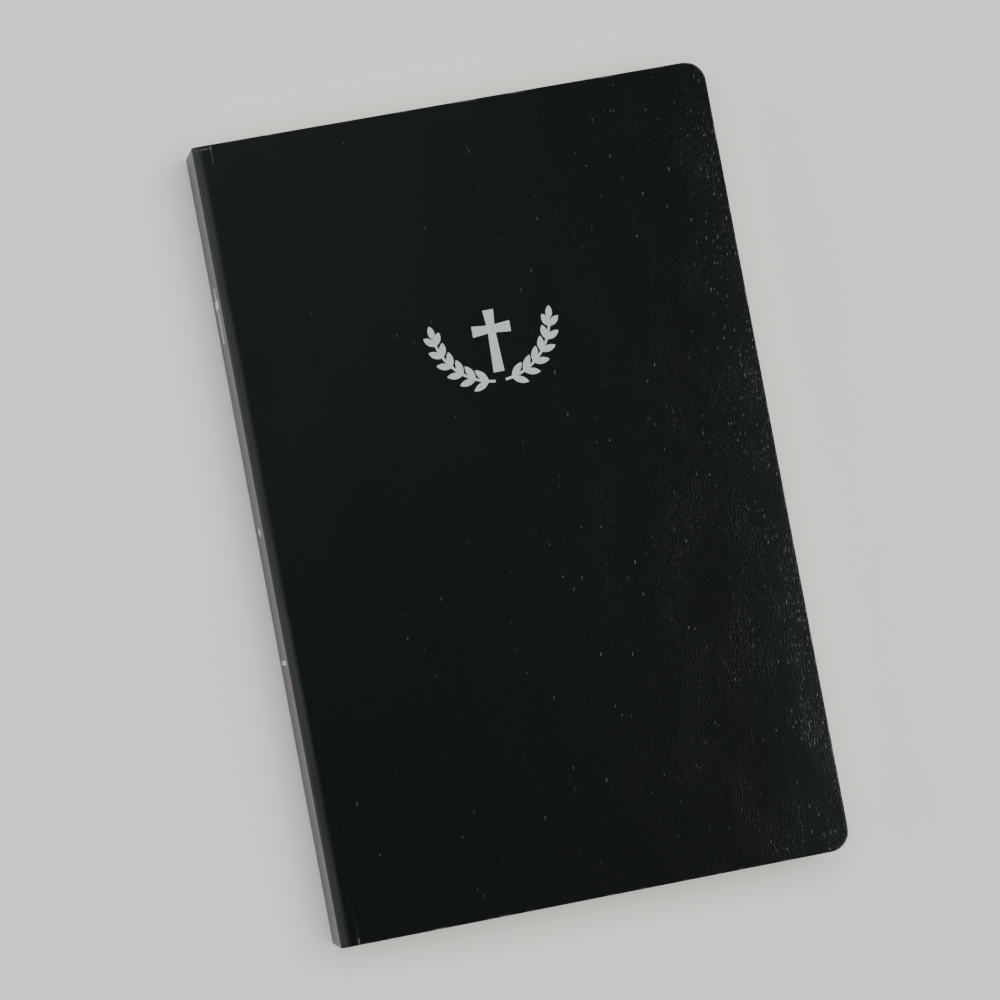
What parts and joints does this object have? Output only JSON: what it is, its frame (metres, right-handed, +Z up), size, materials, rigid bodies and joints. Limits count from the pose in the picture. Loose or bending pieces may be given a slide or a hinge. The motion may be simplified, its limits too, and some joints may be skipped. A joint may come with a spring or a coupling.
{
  "type": "bible",
  "caption": "Closed flexible-cover Bible with a flush-cut imitation-leather cover, rounded fore-edge corners, sewn thin-paper sections and a plain foil ornament.",
  "frame": {"origin": "centre of the footprint of the closed book, on the surface that it lies on", "axes": "+X from the spine to the fore edge, +Y to the head of the page, +Z up, out of the front cover"},
  "size_m": [0.14, 0.216, 0.026],
  "materials": {
    "leather": "fine-grained black imitation leather, satin",
    "card": "grey-white card",
    "mull": "open-weave cotton",
    "glue": "dried bookbinding glue",
    "thread": "linen thread",
    "foil": "stamped silver foil, satin",
    "endpaper": "uncoated off-white endpaper",
    "bible_paper": "thin opaque paper"
  },
  "bodies": {
    "back_half": {"back_spine_cover": "leather", "back_spine_liner": "card", "back_spine_mull": "mull", "back_spine_glue": "glue", "back_sewing_thread": "thread", "back_spine_foil": "foil", "back_endpaper_tip": "endpaper", "back_cover_crease": "leather", "section_13": "bible_paper", "section_14": "bible_paper", "section_15": "bible_paper", "section_16": "bible_paper", "section_17": "bible_paper", "section_18": "bible_paper", "section_19": "bible_paper", "section_20": "bible_paper", "section_21": "bible_paper", "section_22": "bible_paper", "section_23": "bible_paper", "section_24": "bible_paper"},
    "front_half": {"front_spine_cover": "leather", "front_spine_liner": "card", "front_spine_mull": "mull", "front_spine_glue": "glue", "front_sewing_thread": "thread", "front_spine_foil": "foil", "front_endpaper_tip": "endpaper", "front_cover_crease": "leather", "section_01": "bible_paper", "section_02": "bible_paper", "section_03": "bible_paper", "section_04": "bible_paper", "section_05": "bible_paper", "section_06": "bible_paper", "section_07": "bible_paper", "section_08": "bible_paper", "section_09": "bible_paper", "section_10": "bible_paper", "section_11": "bible_paper", "section_12": "bible_paper"},
    "front_flyleaf": {"front_flyleaf": "endpaper"},
    "front_cover": {"front_cover_leather": "leather", "front_cover_board": "card", "front_pastedown": "endpaper", "front_ornament": "foil"},
    "back_flyleaf": {"back_flyleaf": "endpaper"},
    "back_cover": {"back_cover_leather": "leather", "back_cover_board": "card", "back_pastedown": "endpaper"}
  },
  "joints": [
    {"name": "open_middle", "type": "hinge", "parent": "back_half", "child": "front_half", "pos_m": [-0.07003, 0, 0.013], "axis": [0, -1, 0], "range_deg": [0, 180]},
    {"name": "front_flyleaf_turn", "type": "hinge", "parent": "front_half", "child": "front_flyleaf", "pos_m": [-0.065, 0, 0.02605], "axis": [0, -1, 0], "range_deg": [0, 90]},
    {"name": "front_cover_hinge", "type": "hinge", "parent": "front_flyleaf", "child": "front_cover", "pos_m": [-0.065, 0, 0.02605], "axis": [0, 1, 0], "range_deg": [-180, 0], "deforming": ["front_cover_crease"]},
    {"name": "back_flyleaf_turn", "type": "hinge", "parent": "back_half", "child": "back_flyleaf", "pos_m": [-0.065, 0, -0.00005], "axis": [0, 1, 0], "range_deg": [0, 90]},
    {"name": "back_cover_hinge", "type": "hinge", "parent": "back_flyleaf", "child": "back_cover", "pos_m": [-0.065, 0, -0.00005], "axis": [0, -1, 0], "range_deg": [-180, 0], "deforming": ["back_cover_crease"]}
  ]
}
